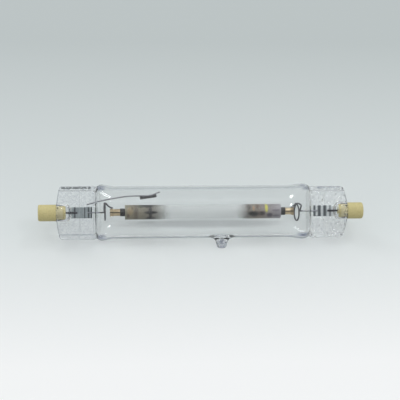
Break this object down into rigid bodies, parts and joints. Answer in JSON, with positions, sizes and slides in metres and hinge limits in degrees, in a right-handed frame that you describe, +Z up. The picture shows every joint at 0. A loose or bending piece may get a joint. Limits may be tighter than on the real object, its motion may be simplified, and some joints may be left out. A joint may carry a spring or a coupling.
{
  "type": "high-pressure sodium lamp",
  "caption": "Double-ended lamp in clear quartz: long tubular bulb with flat pressed ends, ceramic caps, recessed contacts and a translucent arc tube held on looped wires.",
  "frame": {"origin": "the middle of the lamp's footprint as it lies at rest, on the table's surface", "axes": "+X along the lamp towards the right cap, +Z up; the exhaust tip leans towards -Y and touches the table, so the flat pressed ends face up and forward"},
  "size_m": [0.206, 0.0356, 0.033],
  "materials": {
    "quartz": "clear fused quartz, glossy",
    "cap_ceramic": "cream unglazed ceramic, matt",
    "cement": "pale cement, matt",
    "contact_metal": "nickel, satin",
    "lead_metal": "dark molybdenum wire",
    "foil_metal": "molybdenum foil, dull grey with darker bands",
    "loop_metal": "dark drawn wire",
    "niobium": "niobium tube, brownish grey",
    "collar": "dark fused ring",
    "arc_alumina": "translucent alumina, darkened at the ends",
    "plug_alumina": "alumina, stained",
    "tungsten": "dark tungsten",
    "tungsten_coil": "dark coated tungsten coil",
    "amalgam": "bright amalgam",
    "getter_metal": "steel wire",
    "boat_metal": "steel strip",
    "getter_fill": "dark pressed powder"
  },
  "bodies": {
    "root": {"outer_bulb": "quartz", "left_cap": "cap_ceramic", "left_cement": "cement", "left_contact": "contact_metal", "left_outer_lead": "lead_metal", "left_foil": "foil_metal", "left_loop_wire": "loop_metal", "left_niobium_tube": "niobium", "left_end_collar": "collar", "left_end_plug": "plug_alumina", "left_electrode_rod": "tungsten", "left_electrode_coil": "tungsten_coil", "right_cap": "cap_ceramic", "right_cement": "cement", "right_contact": "contact_metal", "right_outer_lead": "lead_metal", "right_foil": "foil_metal", "right_loop_wire": "loop_metal", "right_niobium_tube": "niobium", "right_end_collar": "collar", "right_end_plug": "plug_alumina", "right_electrode_rod": "tungsten", "right_electrode_coil": "tungsten_coil", "arc_tube": "arc_alumina", "amalgam": "amalgam", "getter_wire": "getter_metal", "getter_boat": "boat_metal", "getter_fill": "getter_fill"}
  },
  "joints": []
}
